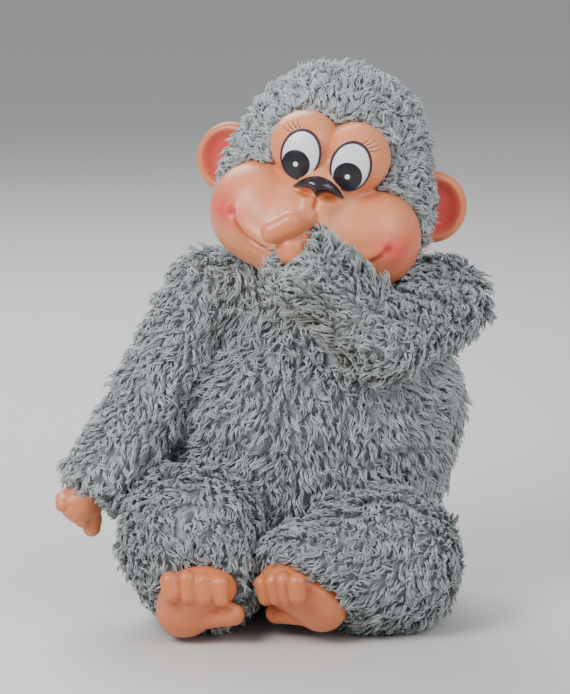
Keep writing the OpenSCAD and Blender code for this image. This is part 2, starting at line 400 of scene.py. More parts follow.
def noise(tree, scale, detail=2.0):
    """Procedural noise on object coordinates, scale in cells per metre."""
    place = tree.nodes.new("ShaderNodeTexCoord")
    node = tree.nodes.new("ShaderNodeTexNoise")
    node.inputs["Scale"].default_value = scale
    node.inputs["Detail"].default_value = detail
    tree.links.new(place.outputs["Object"], node.inputs["Vector"])
    return node.outputs["Fac"]


def add_bump(tree, shader, height, distance, strength=1.0):
    node = tree.nodes.new("ShaderNodeBump")
    node.inputs["Distance"].default_value = distance
    node.inputs["Strength"].default_value = strength
    tree.links.new(height, node.inputs["Height"])
    tree.links.new(node.outputs["Normal"], shader.inputs["Normal"])


def vinyl_material():
    """Soft peach vinyl. The attribute "blush" sprays red on it, and "deep" darkens creases, recesses and
    edges: painted shade.
    """
    if "vinyl" in bpy.data.materials:
        return bpy.data.materials["vinyl"]
    s = bpy.context.scene.monkey_vinyl
    mat, tree, shader = principled("vinyl", 0.36, Subsurface_Weight=0.12, Subsurface_Scale=0.004, IOR=1.5)
    shader.inputs["Subsurface Radius"].default_value = (1.0, 0.35, 0.2)
    base = mix_colour(tree, attribute_node(tree, "painted_shade"), tuple(s.skin), tuple(s.painted_shade))
    base = mix_colour(tree, attribute_node(tree, "blush"), base, tuple(s.blush))
    tree.links.new(base, shader.inputs["Base Color"])
    add_bump(tree, shader, noise(tree, 2500), 0.00006, 0.35)
    return mat


def pile_material():
    """Matted pile: dark at the root, pale at the tip, with worn brown patches."""
    if "pile" in bpy.data.materials:
        return bpy.data.materials["pile"]
    s = bpy.context.scene.monkey_pile
    mat, tree, shader = principled("pile", 0.72, Sheen_Weight=0.25, Sheen_Roughness=0.5)
    base = mix_colour(tree, attribute_node(tree, "along"), tuple(s.root), tuple(s.tip))
    base = mix_colour(tree, attribute_node(tree, "stain"), base, tuple(s.stain))
    shade = tree.nodes.new("ShaderNodeHueSaturation")
    tree.links.new(attribute_node(tree, "tint"), shade.inputs["Value"])
    tree.links.new(base, shade.inputs["Color"])
    tree.links.new(shade.outputs["Color"], shader.inputs["Base Color"])
    return mat


def plain_material(name, rgb, roughness, **sockets):
    if name in bpy.data.materials:
        return bpy.data.materials[name]
    mat, _, shader = principled(name, roughness, **sockets)
    shader.inputs["Base Color"].default_value = (*rgb, 1)
    return mat


def finish(obj, mat, body):
    obj.data.materials.clear()
    obj.data.materials.append(mat)
    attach(obj, body)
    return obj


# ---------------------------------------------------------------- pile
def drift(p, seed, size):
    """A smooth random direction field, with swirls about size millimetres across."""
    rng = np.random.default_rng(seed)
    out = np.zeros_like(p)
    for _ in range(5):
        wave = unit(rng.normal(size=3)) * 2 * np.pi / size * rng.uniform(0.7, 1.4)
        out += np.sin(p @ wave + rng.uniform(0, 2 * np.pi))[:, None] * unit(rng.normal(size=3))
    return out / 2


def scatter(form, corners, spacing, seed):
    """Points spread over a form, about spacing apart. corners holds the triangles of a rough copy of it."""
    rng = np.random.default_rng(seed)
    a, b, c = corners[:, 0], corners[:, 1], corners[:, 2]
    area = np.linalg.norm(np.cross(b - a, c - a), axis=1)
    count = int(6 * area.sum() / 2 / spacing**2)
    pick = rng.choice(len(area), count, p=area / area.sum())
    u, v = np.sqrt(rng.random(count))[:, None], rng.random(count)[:, None]
    p = a[pick] * (1 - u) + b[pick] * (u * (1 - v)) + c[pick] * (u * v)
    for _ in range(3):
        p -= gradient(form, p) * form(p)[:, None]
    cell = p / (spacing * 1.08)
    key = np.floor(cell).astype(np.int64)
    order = np.argsort(np.linalg.norm(cell - key - 0.5, axis=1))
    key = key[order] @ np.array([1, 4096, 4096**2])
    return p[order[np.unique(key, return_index=True)[1]]]


def hair_points(line, out, thick):
    """Three-sided rods round the centre lines of hairs, each with a pointed tip. out leads off the cloth."""
    along = unit(np.gradient(line, axis=1))
    right = unit(np.cross(along, out[:, None, :] + 1e-3))
    above = np.cross(right, along)
    corners = []
    for k in range(3):
        a = 2 * np.pi * k / 3
        way = right[:, :-1] * math.cos(a) + above[:, :-1] * math.sin(a)
        corners.append(line[:, :-1] + way * thick[..., None])
    sections = np.stack(corners, 2).reshape(len(line), -1, 3)
    return np.concatenate([sections, line[:, -1:]], 1)


def hair_faces(per, count):
    """Faces of count rods of per points each: their sides, their tip and their foot."""
    sides = []
    for i in range(RINGS - 1):
        for k in range(3):
            a, b = i * 3 + k, i * 3 + (k + 1) % 3
            sides += [(a, b, b + 3), (a, b + 3, a + 3)]
    last = (RINGS - 1) * 3
    tip = [(last + k, last + (k + 1) % 3, per - 1) for k in range(3)]
    one = np.array([*sides, *tip, (2, 1, 0)])
    return (one[None] + (np.arange(count) * per)[:, None, None]).reshape(-1, 3)


def grow(form, roots, comb, length, seed, messy=0.55, stand=0.62):
    """Wavy tapered hairs in locks. roots are the locks' places, comb gives each lock's lie along the cloth.
    Returns points, faces and per-point values."""
    s = bpy.context.scene.monkey_pile
    rng = np.random.default_rng(seed)
    hairs = s.hairs
    n0 = gradient(form, roots)
    lie = comb(roots) + messy * drift(roots, seed + 1, 26) + 0.8 * messy * drift(roots, seed + 2, 9)
    lie += rng.normal(size=roots.shape) * 0.28
    lie = unit(lie - (lie * n0).sum(1)[:, None] * n0)
    across = np.cross(n0, lie)
    count = len(roots) * hairs

    def rep(values):
        """One value per lock, given to each of its hairs."""
        return np.repeat(values, hairs, axis=0)

    cell = np.floor((roots + 2 * drift(roots, seed + 3, 15)) / TUFT).astype(np.int64) + 2048
    tuft = np.unique(cell @ np.array([1, 4096, 4096**2]), return_inverse=True)[1].ravel()
    size = np.bincount(tuft)
    middle = np.stack([np.bincount(tuft, roots[:, i]) for i in range(3)], 1) / size[:, None]
    gather = rep(middle[tuft] - roots)
    tufts = len(size)

    def shared(values):
        """One value per tuft, given to each of its hairs."""
        return rep(values[tuft])

    long = shared(rng.uniform(0.8, 1.2, tufts)) * rep(length(roots)) * rng.uniform(0.85, 1.15, count)
    up = np.clip(shared(rng.normal(stand, 0.14, tufts)) + rep(rng.normal(0, 0.08, len(roots))), 0.25, 0.95)
    phase = shared(rng.uniform(0, 2 * np.pi, tufts)) + rng.normal(0, 0.5, count)
    turns = shared(rng.uniform(0.7, 1.3, tufts)) * rep(rng.uniform(0.85, 1.15, len(roots)))
    curl = rep(rng.uniform(0.5, 1.4, len(roots)))
    spin = shared(rng.choice([-1.0, 1.0], tufts))
    tint = shared(rng.normal(1.0, 0.06, tufts)) + rep(rng.normal(0, 0.06, len(roots)))
    tint += rng.normal(0, 0.04, count)
    angle = rng.uniform(0, 2 * np.pi, count)
    spread = s.spacing / MM * 0.55 * np.sqrt(rng.random(count))
    n0, lie, across = rep(n0), rep(lie), rep(across)
    offset = (np.cos(angle) * spread)[:, None] * lie + (np.sin(angle) * spread)[:, None] * across
    base = rep(roots) + offset
    base -= n0 * form(base)[:, None]
    steps = np.linspace(0, 1, RINGS + 1)
    line = []
    for t in steps:
        rise = long * (t * up * (1 - 0.42 * t))
        run = long * (t * (1 - up) + 0.42 * up * t * t)
        wave = curl * 1.25 * min(1.0, 2.2 * t)
        side = wave * np.sin(2 * np.pi * turns * t + phase)
        lift = wave * 0.8 * spin * np.cos(2 * np.pi * turns * t + phase)
        point = base + n0 * (rise + lift)[:, None] + lie * run[:, None] + across * side[:, None]
        point += gather * 0.5 * t - offset * 0.8 * t
        line.append(point)
    line = np.stack(line, 1)
    line[:, 0] -= n0 * 1.2
    thick = s.girth / MM * (0.75 + 0.5 * np.sin(np.pi * np.clip(steps * 1.15, 0, 1))) * (1 - steps ** 4)
    thick = thick[None, :-1] * rng.uniform(0.75, 1.25, count)[:, None]
    points = hair_points(line, n0, thick)
    per = points.shape[1]
    tone = np.concatenate([np.repeat(steps[:-1], 3), [1.0]])
    values = {
        "along": np.tile(np.clip(tone * 1.25, 0, 1) ** 0.9, count),
        "tint": np.repeat(tint, per),
    }
    return points.reshape(-1, 3), hair_faces(per, count), values


def stain_at(p):
    """Worn brown patches under the raised forearm and near the mouth."""
    elbow, wrist = ARMS["left"][1:]
    under = bump(capsule(p, elbow - (8, 0, 18), wrist - (0, 0, 16), 0, 0), 13)
    return np.clip(under * (0.55 + 0.45 * drift(p, 5, 18)[:, 0]), 0, 0.75)


def coat(name, node, form, centre, region, comb, length, seed, body, buried=None, messy=0.55, tone=1.0):
    """One cloth panel with its pile, in place of a CAD node. tone scales the pile's tint; below 1 it darkens
    the whole panel as painted shade.
    """
    s = bpy.context.scene.monkey_pile
    panel = moulded(name, form, centre, 96, 64)
    skin = points_of(panel)
    groups = [g[region(skin[g].mean(axis=1))] for g in faces_of(panel)]
    corners = skin[np.concatenate([groups[0], groups[1][:, :3], groups[1][:, [0, 2, 3]]])]
    bpy.data.objects.remove(panel)
    used = np.unique(np.concatenate([g.ravel() for g in groups]))
    patch = new_object(name, skin[used], [np.searchsorted(used, g) for g in groups])
    thicken(patch, CLOTH * MM)
    roots = scatter(form, corners, s.spacing / MM, seed)
    ok = region(roots) & (roots[:, 2] > -1.0)
    if buried is not None:
        ok &= ~buried(roots)
    points, faces, values = grow(form, roots[ok], comb, length, seed, messy)
    skin = points_of(patch) / MM
    groups = [g + len(points) for g in faces_of(patch)]
    bpy.data.objects.remove(patch)
    every = np.concatenate([points, skin])
    every[:, 2] = np.maximum(every[:, 2], 0.3)
    obj = new_object(name, every, [np.concatenate([faces, groups[0]]), groups[1]])
    blank = np.zeros(len(skin))
    set_value(obj, "along", np.concatenate([values["along"], blank + 0.3]))
    # tone under 1 is painted shade: it darkens the pile and its cloth all over.
    set_value(obj, "tint", tone * np.concatenate([values["tint"], blank + 1]))
    set_value(obj, "stain", stain_at(every))
    obj.data.materials.append(pile_material())
    if isinstance(body, tuple):
        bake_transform(obj)
    else:
        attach(obj, body)
    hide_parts(node)
    return obj


class MONKEY_OT_torso(bpy.types.Operator):
    """Four cloth panels of the torso, with their pile"""

    bl_idname = "monkey.torso"
    bl_label = "Torso"

    def execute(self, context):
        length = context.scene.monkey_pile.length / MM
        tilt = math.tan(math.radians(5.6))
        inside = [arm_form(s) for s in SIDES] + [leg_form(s) for s in SIDES]

        def buried(p):
            return np.min([f(p) for f in inside], axis=0) < -3

        def comb(p):
            down = np.tile([0.0, 0.0, -1.0], (len(p), 1))
            down[:, 0] = 0.012 * (p[:, 0] - 10)
            return down

        for seed, (side, sign) in enumerate((("left", 1), ("right", -1))):
            for face, front in (("front", True), ("back", False)):
                def region(p, sign=sign, front=front):
                    across = (p[:, 0] - 8 - p[:, 2] * tilt) * sign
                    return (across > 0) & ((p[:, 1] < 0) == front)

                name = f"torso_{face}_{side}"
                coat(f"{name}_pile", f"{name}_panel", torso_form, np.array([16.0, 2, 85]), region, comb,
                     lambda p: np.full(len(p), length), 11 + seed * 7 + front, "torso", buried)
        return {"FINISHED"}


class MONKEY_OT_hood(bpy.types.Operator):
    """Two halves of the plush hood, combed back from the face"""

    bl_idname = "monkey.hood"
    bl_label = "Hood"

    def execute(self, context):
        turn, at = head_frame()

        def form(p):
            return skull_form(to_head(p))

        def comb(p):
            q = to_head(p)
            out = np.stack([q[:, 0] * 1.1, np.full(len(q), 16.0), q[:, 2] + 4], 1)
            return unit(out) @ turn.T

        def length(p):
            q = to_head(p)
            return 7.5 + 4.0 * np.clip((q[:, 1] + 34) / 30, 0, 1)

        for seed, (side, sign) in enumerate((("left", 1), ("right", -1))):
            def region(p, sign=sign):
                q = to_head(p)
                return (q[:, 0] * sign > 0) & ((mask_form(q) > 0.8) | (q[:, 1] > -19))

            coat(f"hood_{side}_pile", f"hood_{side}_panel", form, at, region, comb, length, 41 + seed, "head",
                 messy=0.5)
        return {"FINISHED"}


class MONKEY_OT_arms(bpy.types.Operator):
    """Sleeves: upper arm, soft elbow and forearm on both sides"""

    bl_idname = "monkey.arms"
    bl_label = "Arms"

    def execute(self, context):
        for seed, side in enumerate(SIDES):
            s, e, w = ARMS[side]
            form = arm_form(side)
            up, out = unit(s - e), unit(w - e)

            def comb(p, s=s, e=e, w=w):
                first, second = unit(e - s), unit(w - e)
                t = np.clip(0.5 + ((p - e) @ unit(first + second)) / 24, 0, 1)[:, None]
                return first * (1 - t) + second * t + np.array([0, 0, -0.25])

            def on_upper(p, e=e, up=up):
                return (p - e) @ up > ELBOW_CUT

            fist = placed(fist_form(side), w, HAND_DIR[side], HANDS[side][0])

            def on_forearm(p, e=e, out=out, on_upper=on_upper, fist=fist):
                return ((p - e) @ out > ELBOW_CUT) & ~on_upper(p) & (fist(p) > 0.5)

            def on_elbow(p, e=e, out=out, on_upper=on_upper):
                return ~on_upper(p) & ((p - e) @ out <= ELBOW_CUT)

            def length(p):
                return np.full(len(p), 12.0)

            def buried(p):
                return torso_form(p) < -4

            upper, lower = f"{side}_upper_arm", f"{side}_forearm"
            bend = (upper, lower, e + up * ELBOW_CUT, e + out * ELBOW_CUT)
            coat(f"{side}_upper_sleeve_pile", f"{side}_upper_sleeve", form, e, on_upper, comb, length,
                 61 + seed, upper, buried)
            coat(f"{side}_elbow_pile", f"{side}_elbow_sleeve", form, e, on_elbow, comb, length,
                 63 + seed, bend)
            coat(f"{side}_forearm_sleeve_pile", f"{side}_forearm_sleeve", form, e, on_forearm, comb, length,
                 65 + seed, lower)
        return {"FINISHED"}


class MONKEY_OT_legs(bpy.types.Operator):
    """Two legs, from hip to gathered cuff"""

    bl_idname = "monkey.legs"
    bl_label = "Legs"

    def execute(self, context):
        for seed, side in enumerate(SIDES):
            form = leg_form(side)
            sole = placed(foot_form(*FEET[side][1:]), ANKLES[side], FOOT_DIR[side], FEET[side][0])

            def region(p, sole=sole):
                return sole(p) > 0.5

            def comb(p, side=side):
                out = np.tile(unit(ANKLES[side] - HIPS[side]), (len(p), 1))
                out += 0.55 * unit(p - (KNEES[side] + HIPS[side]) / 2)
                return out + np.array([0, 0, -0.5])

            def buried(p):
                return torso_form(p) < -5

            middle = KNEES[side] * 0.5 + HIPS[side] * 0.5
            # tone 0.88 darkens the legs' pile all over: painted shade.
            coat(f"{side}_leg_pile", f"{side}_leg_sleeve", form, middle, region, comb,
                 lambda p: np.full(len(p), 12.0), 71 + seed, f"{side}_leg", buried, tone=0.88)
        return {"FINISHED"}


# ---------------------------------------------------------------- head
def face_front(x, z):
    """The face's surface in front of points x, z of the head's own frame."""
    y = np.full(len(x), -80.0)
    for _ in range(60):
        p = np.stack([x, y, z], 1)
        y = y + np.maximum(mask_form(p) - relief(p), 0) * 0.7
    return y


# Painted lashes, from the edge of an eye outwards: places relative to the eye's middle.
LASHES = (
    ((3.4, 12.6), (6.2, 17.0)),
    ((5.0, 12.0), (8.8, 15.6)),
    ((6.5, 11.0), (11.0, 13.6)),
    ((7.8, 9.6), (12.8, 11.4)),
)


def eye_reach(p):
    """How far p is from the middle of the nearer eye, as a share of the eye's size."""
    head = bpy.context.scene.monkey_head
    half_w, half_h = head.eye_w / MM / 2, head.eye_h / MM / 2
    return np.hypot((np.abs(p[:, 0]) - 13) / half_w, (p[:, 2] - 13) / half_h)


class MONKEY_OT_face(bpy.types.Operator):
    """The vinyl face, its nose and its painted lashes"""

    bl_idname = "monkey.face"
    bl_label = "Face"

    def execute(self, context):
        s = context.scene.monkey_vinyl
        obj = sphere_object("face", 320, 180)
        rays = unit(points_of(obj))
        azimuth = np.arctan2(rays[:, 0], -rays[:, 1])
        azimuth = azimuth * (0.55 + 0.45 * (azimuth / np.pi) ** 2)
        flat = np.hypot(rays[:, 0], rays[:, 1])
        rays = np.stack([np.sin(azimuth) * flat, -np.cos(azimuth) * flat, rays[:, 2]], 1)
        centre = np.array([0.0, -20, -12])
        p = cast(mask_form, centre, rays)
        sink = relief(p) - 2.2 * np.clip((1.0 - eye_reach(p)) * 9, 0, 1)
        p = p + gradient(mask_form, p) * sink[:, None]
        back = p[:, 1] > -21
        p[back, 1] = -21 + (p[back, 1] + 21) * 0.15
        set_points(obj, from_head(p) * MM)
        x, _, z = p.T
        side = np.abs(x)
        ends = np.hypot((side - SMILE_END - 2.5) / 1.15, z - smile(SMILE_END) - 1)
        blush = 0.85 * bump(ends, 7.5) + 0.25 * bump(side - 50, 8) * bump(z + 26, 16)
        set_value(obj, "blush", np.clip(blush, 0, 1))
        # Painted shade: darker colour in the smile groove and just below it, in the nostril recesses under
        # the nose, down the philtrum groove, and towards the face's edges where it turns back.
        above = z - smile(x)
        line = bump(above, 0.9) * (side < SMILE_END + 0.5)
        nostril_shade = bump(side - 6.3, 4.2) * bump(z + 4.8, 2.2)
        edge = np.clip((p[:, 1] + 34) / 12, 0, 1) * 0.35
        painted_shade = 0.75 * line + 0.8 * nostril_shade + 0.45 * bump(above + 1.5, 3) * (side < SMILE_END) + edge
        painted_shade += 0.5 * bump(x, 0.7) * (z < -5) * (z > -33)
        set_value(obj, "painted_shade", np.clip(painted_shade, 0, 1))
        finish(obj, vinyl_material(), "head")
        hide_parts("face_mask")
        self.nose(s)
        self.lashes(s)
        return {"FINISHED"}

    def nose(self, s):
        obj = sphere_object("nose", 96, 48)
        u = points_of(obj)[:, [2, 1, 0]]
        x = 13.4 * u[:, 0]
        top = 5.2 - 8.0 * np.abs(x / 13.4) ** 2.1
        low = -1.9 - 3.2 * np.clip(1 - np.abs(x) / 4.2, 0, 1) ** 1.3
        low -= 2.6 * np.clip((np.abs(x) - 5.5) / 8, 0, 1) ** 1.2
        ring = np.hypot(u[:, 1], u[:, 2]) + 1e-6
        full = np.clip(1 - np.abs(u[:, 0]) ** 6, 0, 1) ** 0.5
        z = (top + low) / 2 + (top - low) / 2 * full * u[:, 2] / ring
        front = -u[:, 1] / ring
        y = face_front(x, z) - np.where(front > 0, 2.9 * front * full ** 0.6, 1.2 * front)
        set_points(obj, from_head(np.stack([x, y, z], 1)) * MM)
        self.recalculate(obj)
        mat = plain_material("nose", tuple(s.nose), 0.22, Coat_Weight=0.4, Coat_Roughness=0.1)
        finish(obj, mat, "head")

    def lashes(self, s):
        mat = plain_material("painted_line", tuple(s.outline), 0.45)
        steps = np.linspace(0, 1, 9)
        for name, sign in (("left", 1), ("right", -1)):
            verts, faces, caps = [], [], []
            for base, tip in LASHES:
                base, tip = np.array(base), np.array(tip)
                middle = (base + tip) / 2 + np.array([0.9, -0.5])
                u = steps[:, None]
                curve = base * (1 - u) ** 2 + 2 * middle * u * (1 - u) + tip * u**2
                x, z = sign * (13 + curve[:, 0]), 13 + curve[:, 1]
                y = face_front(x, z)
                line = np.stack([x, y, z], 1)
                for i, point in enumerate(line):
                    r = 0.26 * (1 - 0.8 * steps[i])
                    for c in range(6):
                        a = 2 * np.pi * c / 6
                        around = np.array([math.cos(a), math.sin(a) * 0.6, math.sin(a)])
                        verts.append(point + around * r)
                start = len(verts) - 6 * len(steps)
                for i in range(len(steps) - 1):
                    for c in range(6):
                        a, b = start + i * 6 + c, start + i * 6 + (c + 1) % 6
                        faces.append((a, b, b + 6, a + 6))
                caps.append([start + c for c in reversed(range(6))])
                caps.append([start + 6 * (len(steps) - 1) + c for c in range(6)])
            obj = new_object(f"{name}_lashes", from_head(np.array(verts)), [np.array(faces), np.array(caps)])
            self.recalculate(obj)
            finish(obj, mat, "head")

    @staticmethod
    def recalculate(obj):
        select_only(obj)
        bpy.ops.object.mode_set(mode="EDIT")
        bpy.ops.mesh.select_all(action="SELECT")
        bpy.ops.mesh.normals_make_consistent(inside=False)
        bpy.ops.object.mode_set(mode="OBJECT")


class MONKEY_OT_eyes(bpy.types.Operator):
    """Two glossy oval eyes with pupils, and the painted outline round each"""

    bl_idname = "monkey.eyes"
    bl_label = "Eyes"

    def execute(self, context):
        head = context.scene.monkey_head
        paint = context.scene.monkey_vinyl
        w, h = head.eye_w / MM / 2, head.eye_h / MM / 2
        white = plain_material("eye_white", (0.76, 0.77, 0.83), 0.3, Coat_Weight=0.15, Coat_Roughness=0.2)
        black = plain_material("pupil", (0.010, 0.011, 0.014), 0.3, Coat_Weight=0.1, Coat_Roughness=0.2)
        dot = plain_material("highlight", (0.85, 0.85, 0.85), 0.3)
        ink = plain_material("painted_line", tuple(paint.outline), 0.45)
        for name, sign in (("left", 1), ("right", -1)):
            centre = np.array([sign * 13.0, 0, 13])
            ring = np.linspace(0, 2 * np.pi, 60, endpoint=False)
            rim = np.stack([centre[0] + w * np.cos(ring), np.zeros(60), centre[2] + h * np.sin(ring)], 1)
            rim[:, 1] = face_front(rim[:, 0], rim[:, 2])
            flat = np.linalg.lstsq(np.c_[rim[:, 0], rim[:, 2], np.ones(60)], rim[:, 1], rcond=None)[0]

            def surface(x, z):
                """The eye's domed front, over a plane through its rim."""
                out = np.hypot((x - centre[0]) / w, (z - centre[2]) / h)
                plane = flat[0] * x + flat[1] * z + flat[2]
                return plane - 0.9 - 2.4 * (1 - np.clip(out, 0, 1.2) ** 2)

            def disc(label, cx, cz, rx, rz, lift, mat):
                """A lens laid on the eye's dome, its middle lift millimetres proud of it."""
                obj = sphere_object(label, 64, 32)
                u = points_of(obj)
                x, z = cx + rx * u[:, 0], cz + rz * u[:, 1]
                depth = np.where(u[:, 2] > 0, 0.2 * u[:, 2] + lift, 0.4 * u[:, 2] + lift)
                if mat is white:
                    depth = np.where(u[:, 2] > 0, 0.3 * u[:, 2], 2.5 * u[:, 2])
                y = surface(x, z) - depth
                set_points(obj, from_head(np.stack([x, y, z], 1)) * MM)
                MONKEY_OT_face.recalculate(obj)
                return finish(obj, mat, "head")

            eye = disc(f"{name}_eyeball", centre[0], centre[2], w, h, 0, white)
            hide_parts(f"{name}_eye")
            pupil = head.pupil / MM
            px, pz = centre[0] - (1.2 if sign < 0 else 0.3), centre[2] - 5.1
            disc(f"{name}_pupil", px, pz, pupil, pupil, 0.3, black)
            disc(f"{name}_highlight", px, pz, 1.3, 1.3, 0.5, dot)
            self.outline(f"{name}_eye_outline", centre, w, h, surface, ink)
        return {"FINISHED"}

    def outline(self, name, centre, w, h, surface, mat):
        """A thin closed ring round the eye."""
        turns, sides = 96, 8
        verts = []
        for i in range(turns):
            a = 2 * np.pi * i / turns
            heavy = 0.55 + 0.15 * math.sin(a)
            for k in range(sides):
                b = 2 * np.pi * k / sides
                grow_by = heavy * math.cos(b)
                x = centre[0] + (w + grow_by) * math.cos(a)
                z = centre[2] + (h + grow_by) * math.sin(a)
                verts.append((x, surface(x, z) - 0.2 - 0.6 * math.sin(b), z))
        faces = []
        for i in range(turns):
            for k in range(sides):
                a, b = i * sides + k, i * sides + (k + 1) % sides
                c, d = (a + sides) % (turns * sides), (b + sides) % (turns * sides)
                faces.append((a, b, d, c))
        obj = new_object(name, from_head(np.array(verts)), np.array(faces))
        MONKEY_OT_face.recalculate(obj)
        finish(obj, mat, "head")


class MONKEY_OT_ears(bpy.types.Operator):
    """Two vinyl ears: a hollow cup with a rolled rim"""

    bl_idname = "monkey.ears"
    bl_label = "Ears"

    def execute(self, context):
        r = context.scene.monkey_head.ear / MM
        for name, sign in (("left", 1), ("right", -1)):
            obj = sphere_object(f"{name}_ear_cup", 96, 64)
            u = points_of(obj)
            out = np.hypot(u[:, 0], u[:, 1])
            x, z = u[:, 0] * r, u[:, 1] * r * 1.03
            rim = bump(out - 0.84, 0.17)
            front = np.where(u[:, 2] >= 0, 1.0, -1.0) * np.sqrt(np.clip(1 - out ** 8, 0, 1))
            hollow = 4.2 * (1 - np.clip(out / 0.8, 0, 1) ** 3)
            y = np.where(u[:, 2] >= 0, -3.0 * front - 1.0 * rim + hollow, -3.2 * front + 1.5)
            local = np.stack([x, y, z], 1)
            turn = np.array(Euler((math.radians(-6), 0, math.radians(sign * 14)), "XYZ").to_matrix())
            p = local @ turn.T + np.array([sign * 54.0, 6, -8])
            set_points(obj, from_head(p) * MM)
            inside = np.clip((0.80 - out) / 0.14, 0, 1) * (u[:, 2] > 0)
            set_value(obj, "blush", 0.92 * inside + 0.25 * bump(out - 0.82, 0.1) * (u[:, 2] > 0))
            # Painted shade: the ear is darkened outside its blushed hollow.
            set_value(obj, "painted_shade", 0.25 * (1 - inside))
            MONKEY_OT_face.recalculate(obj)
            finish(obj, vinyl_material(), "head")
            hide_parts(f"{name}_ear")
        return {"FINISHED"}


# ---------------------------------------------------------------- hands and feet
def limb_axes(direction, spin):
    """Columns X, Y, Z of a hand or foot that points along direction."""
    d = unit(direction)
    tilt, turn = math.acos(d[2]), math.atan2(d[1], d[0])
    m = Euler((0, tilt, turn), "XYZ").to_matrix() @ Euler((0, 0, math.radians(spin)), "XYZ").to_matrix()
    return np.array(m)


HANDS = {"left": (205, (14, 1, 12)), "right": (0, (14.5, -2, 15))}  # turn about the arm, tip of the thumb
FEET = {"left": (103, -1, 5), "right": (90, 1, 0)}  # turn about the shin, side of the big toe, added length


def placed(form, at, direction, spin):
    """The form of a hand or foot where it sits on its limb."""
    axes = limb_axes(direction, spin)
    return lambda p: form((p - at) @ axes)


def place_limb(obj, local, at, direction, spin):
    set_points(obj, (local @ limb_axes(direction, spin).T + at) * MM)


def raised_hand_form():
    """The fist at the mouth: a smooth palm whose thumb lies across the lips."""
    at, axes = ARMS["left"][2], limb_axes(HAND_DIR["left"], HANDS["left"][0])
    knob, bend, tip, palm, side = (
        (np.array(q) - at) @ axes
        for q in ((-5.0, -90, 211.5), (4, -91, 216), (12.5, -84, 217.5), (4, -86, 203), (8, -84, 206))
    )

    def form(p):
        thumb = join(3, capsule(p, knob, bend, 6.2, 5.6), capsule(p, bend, tip, 5.5, 5.0))
        fist = join(4, capsule(p, (0, 0, -8), (0, 0, 4), 7.4, 7.4), capsule(p, palm, side, 7.8, 7.4))
        along = (p - bend) @ unit(tip - bend)
        wrinkle = 0.35 * bump(along - 3, 0.5) + 0.35 * bump(along - 5, 0.5) + 0.3 * bump(along - 7, 0.5)
        return join(2.2, fist, thumb) + wrinkle

    return form


def crease(form, p):
    """How far into a crease of a form the points p of its surface lie, from 0 to 1. It sets where shade is
    painted on hands and feet.
    """
    return np.clip((0.75 - form(p + gradient(form, p) * 1.2) / 1.2) / 0.3, 0, 1)


def hand_form(thumb):
    """A closed fist on a round neck: +Z out of the cuff, fingers curled to -Y, thumb to +X."""

    def form(p):
        palm = join(4, egg(p, (0, 0, 11), (9.8, 8, 9)), capsule(p, (0, 0, -8), (0, 0, 6), 7.4, 7.4))
        fingers = [
            join(1.2, capsule(p, (-7.2 + n * 4.6, 1, 17.5 - 0.5 * n), (-6.8 + n * 4.4, -5.8, 15), 3.7, 3.5),
                 capsule(p, (-6.8 + n * 4.4, -5.8, 15), (-6.4 + n * 4.2, -6.2, 9.5), 3.5, 3.2))
            for n in range(4)
        ]
        digit = np.min(fingers, axis=0)
        base = np.array([6.0, 0, 8])
        tip = np.array(thumb, float)
        knuckle = (base + tip) / 2 + np.array([1.5, -1, 0])
        finger = join(2, capsule(p, base, knuckle, 5.0, 4.3), capsule(p, knuckle, tip, 4.3, 4.7))
        return join(2.4, join(2.2, palm, digit), finger)

    return form


def fist_form(side):
    return raised_hand_form() if side == "left" else hand_form(HANDS[side][1])


def foot_form(toe, reach):
    """A foot with its sole to +Z, toes up along +Y and the big toe towards toe * X."""

    def form(p):
        q = p * np.array([toe, 1, 1])
        front = egg(q, (2, 4 + reach / 2, 9), (17, 12 + reach / 2, 11))
        sole = join(6, egg(q, (-6, -6, 9), (15.5, 14.5, 11)), front)
        sole = join(5, sole, egg(q, (-8, -12, 9), (12, 11, 11)))
        neck = capsule(q, (0, 0, -9), (0, 0, 2), 10, 10)
        toes = [
            capsule(q, (-14.5 + n * 8.6, 13.5 - 1.2 * n - 2.2 * (n == 0) + reach, 14),
                    (-13.5 + n * 8.4, 6.0 - 1.1 * n + reach, 18.0),
                    4.9 - 0.25 * n, 4.7 - 0.3 * n)
            for n in range(4)
        ]
        big = join(2, capsule(q, (2, -11, 13), (13, -9, 15), 6.0, 5.0), ball(q, (17.5, -7.5, 15.5), 5.6))
        body = join(4, sole, neck)
        return join(1.6, join(1.0, body, np.min(toes, axis=0)), big)

    return form


class MONKEY_OT_hands(bpy.types.Operator):
    """Two closed vinyl fists; one thumb is at the mouth"""

    bl_idname = "monkey.hands"
    bl_label = "Hands"

    def execute(self, context):
        for side, (spin, _) in HANDS.items():
            form = fist_form(side)
            obj = moulded(f"{side}_fist", form, (0, -1, 12), 150, 100, far=60)
            local = points_of(obj)
            creases = crease(form, local)
            set_value(obj, "blush", 0.12 * bump(local[:, 2] - 24, 6))
            # Painted shade: the fist is darkened a little all over and more in its creases.
            set_value(obj, "painted_shade", 0.2 + 0.3 * creases)
            place_limb(obj, local, ARMS[side][2], HAND_DIR[side], spin)
            finish(obj, vinyl_material(), f"{side}_hand_body")
            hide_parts(f"{side}_hand")
        return {"FINISHED"}


class MONKEY_OT_feet(bpy.types.Operator):
    """Two vinyl feet, soles forward"""

    bl_idname = "monkey.feet"
    bl_label = "Feet"

    def execute(self, context):
        for side, (spin, toe, reach) in FEET.items():
            form = foot_form(toe, reach)
            obj = moulded(f"{side}_sole", form, (0, 0, 9), 160, 110, far=60)
            local = points_of(obj)
            creases = crease(form, local)
            # Painted shade: the foot is darkened halfway all over and further in its creases.
            set_value(obj, "painted_shade", 0.5 + 0.3 * creases)
            place_limb(obj, local, ANKLES[side], FOOT_DIR[side], spin)
            finish(obj, vinyl_material(), f"{side}_foot_body")
            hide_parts(f"{side}_foot")
        return {"FINISHED"}


